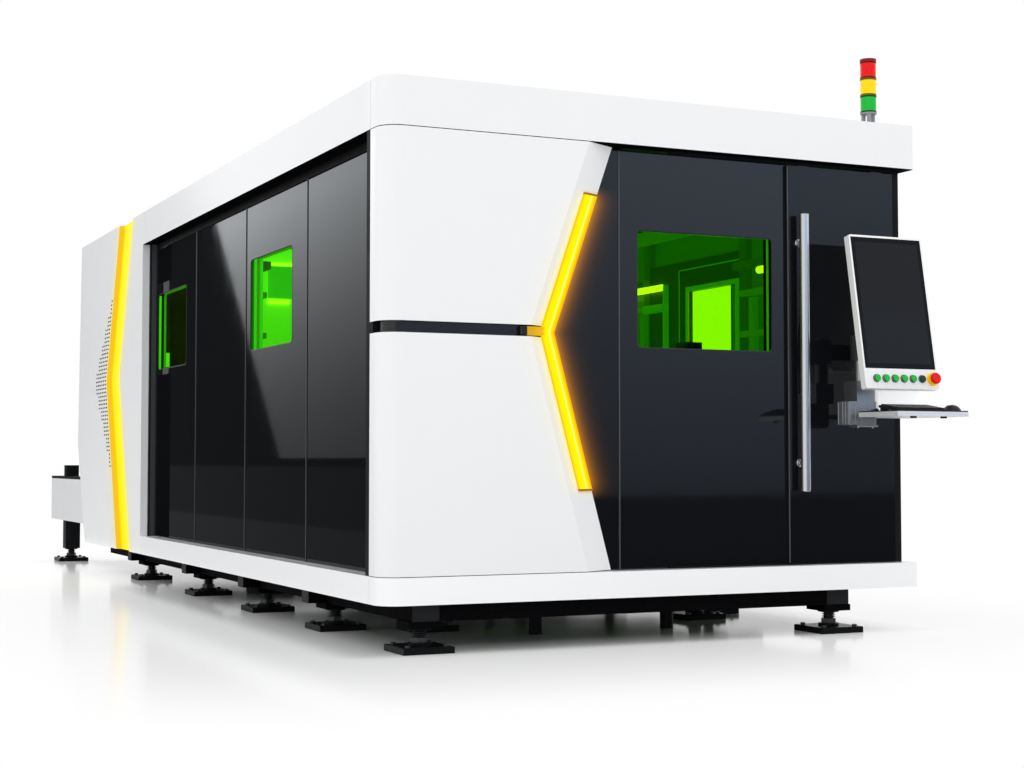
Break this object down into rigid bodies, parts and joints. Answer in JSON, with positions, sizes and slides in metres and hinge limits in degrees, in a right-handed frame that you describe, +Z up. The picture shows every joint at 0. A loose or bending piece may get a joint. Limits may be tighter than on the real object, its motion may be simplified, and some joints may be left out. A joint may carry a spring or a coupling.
{
  "type": "fiber laser cutting machine",
  "caption": "Long enclosed fiber laser cutting machine with a travelling gantry and cutting head, sliding door, tinted windows, swing-out control console and a pallet table at its rear.",
  "frame": {"origin": "middle of the footprint, on the floor under the levelling feet", "axes": "+X to the machine's right seen from its front, +Y rearwards along its length, +Z up"},
  "size_m": [2.59, 8.2, 2.64],
  "materials": {
    "white_paint": "gloss powder coat",
    "roof_paint": "gloss powder coat",
    "charcoal_paint": "gloss powder coat",
    "black_paint": "satin powder coat",
    "inner_paint": "satin paint",
    "steel": "brushed",
    "foot_steel": "satin black oxide",
    "bolt_steel": "zinc plated",
    "alloy": "satin anodised",
    "motor_black": "satin",
    "laser_glass": "tinted laser safety glass",
    "amber_light": "lit diffuser",
    "lamp_light": "lit diffuser",
    "tower_grey": "satin",
    "lens_green": "clear coloured lens",
    "lens_yellow": "clear coloured lens",
    "lens_red": "clear coloured lens",
    "console_white": "satin powder coat",
    "console_silver": "satin anodised",
    "screen_black": "gloss",
    "key_black": "fine texture",
    "button_green": "gloss",
    "button_dark": "gloss",
    "stop_yellow": "gloss",
    "stop_red": "gloss"
  },
  "bodies": {
    "machine": {"lower_bands": "white_paint", "upper_bands": "white_paint", "front_covers": "white_paint", "rear_covers": "white_paint", "table_sides": "white_paint", "roof_panels": "roof_paint", "front_fascia": "charcoal_paint", "window_panel": "charcoal_paint", "side_panels": "charcoal_paint", "base_frame": "black_paint", "enclosure_frame": "black_paint", "slot_trim": "black_paint", "table_frame": "black_paint", "console_bracket": "black_paint", "cross_walls": "inner_paint", "gate_guides": "inner_paint", "machine_bed": "inner_paint", "scrap_trough": "inner_paint", "laser_source": "inner_paint", "control_cabinet": "inner_paint", "guide_rails": "steel", "pallet_rails": "steel", "door_track": "steel", "levelling_feet": "foot_steel", "foot_fasteners": "bolt_steel", "front_window": "laser_glass", "side_windows": "laser_glass", "front_led": "amber_light", "side_leds": "amber_light", "light_bars": "lamp_light", "tower_base": "tower_grey", "tower_green": "lens_green", "tower_yellow": "lens_yellow", "tower_red": "lens_red"},
    "door": {"door_leaf": "charcoal_paint", "door_handle": "steel"},
    "gantry": {"gantry_beam": "inner_paint", "gantry_shoes": "steel", "gantry_motors": "motor_black"},
    "carriage_body": {"carriage": "alloy"},
    "head_body": {"cutting_head": "alloy"},
    "gate": {"gate_panel": "inner_paint"},
    "pallet": {"pallet_frame": "inner_paint", "pallet_slats": "steel"},
    "arm": {"console_arm": "black_paint"},
    "console": {"swivel_post": "console_silver", "console_tray": "console_silver", "console_column": "console_white", "keyboard": "key_black", "mouse": "key_black"},
    "screen": {"screen_housing": "console_silver", "screen_glass": "screen_black", "estop_base": "stop_yellow"},
    "emergency_stop": {"estop_button": "stop_red"},
    "push_button_1": {"button_1": "button_green"},
    "push_button_2": {"button_2": "button_green"},
    "push_button_3": {"button_3": "button_green"},
    "push_button_4": {"button_4": "button_green"},
    "push_button_5": {"button_5": "button_green"},
    "push_button_6": {"button_6": "button_dark"}
  },
  "joints": [
    {"name": "door_slide", "type": "slide", "parent": "machine", "child": "door", "axis": [-1, 0, 0], "range_m": [0, 0.58]},
    {"name": "gantry_travel", "type": "slide", "parent": "machine", "child": "gantry", "axis": [0, 1, 0], "range_m": [-0.35, 2.5]},
    {"name": "carriage_travel", "type": "slide", "parent": "gantry", "child": "carriage_body", "axis": [1, 0, 0], "range_m": [-0.7, 0.7]},
    {"name": "head_lift", "type": "slide", "parent": "carriage_body", "child": "head_body", "axis": [0, 0, 1], "range_m": [-0.07, 0.08]},
    {"name": "gate_lift", "type": "slide", "parent": "machine", "child": "gate", "axis": [0, 0, 1], "range_m": [-0.24, 0]},
    {"name": "pallet_travel", "type": "slide", "parent": "machine", "child": "pallet", "axis": [0, 1, 0], "range_m": [0, 3.5]},
    {"name": "arm_swing", "type": "hinge", "parent": "machine", "child": "arm", "pos_m": [1.249, -3.685, 1.2645], "axis": [0, 0, 1], "range_deg": [0, 95]},
    {"name": "console_swivel", "type": "hinge", "parent": "arm", "child": "console", "pos_m": [0.927, -3.738, 1.2645], "axis": [0, 0, 1], "range_deg": [-60, 0]},
    {"name": "screen_tilt", "type": "hinge", "parent": "console", "child": "screen", "pos_m": [1.081, -3.81, 1.186], "axis": [1, 0, 0], "range_deg": [-5, 15]},
    {"name": "button_1_press", "type": "slide", "parent": "screen", "child": "push_button_1", "axis": [0, 0.9851, -0.1719], "range_m": [0, 0.003], "stiffness_N_per_m": 900},
    {"name": "button_2_press", "type": "slide", "parent": "screen", "child": "push_button_2", "axis": [0, 0.9851, -0.1719], "range_m": [0, 0.003], "stiffness_N_per_m": 900},
    {"name": "button_3_press", "type": "slide", "parent": "screen", "child": "push_button_3", "axis": [0, 0.9851, -0.1719], "range_m": [0, 0.003], "stiffness_N_per_m": 900},
    {"name": "button_4_press", "type": "slide", "parent": "screen", "child": "push_button_4", "axis": [0, 0.9851, -0.1719], "range_m": [0, 0.003], "stiffness_N_per_m": 900},
    {"name": "button_5_press", "type": "slide", "parent": "screen", "child": "push_button_5", "axis": [0, 0.9851, -0.1719], "range_m": [0, 0.003], "stiffness_N_per_m": 900},
    {"name": "button_6_press", "type": "slide", "parent": "screen", "child": "push_button_6", "axis": [0, 0.9851, -0.1719], "range_m": [0, 0.003], "stiffness_N_per_m": 900},
    {"name": "estop_press", "type": "slide", "parent": "screen", "child": "emergency_stop", "axis": [0, 0.9851, -0.1719], "range_m": [0, 0.004], "stiffness_N_per_m": 1500}
  ]
}
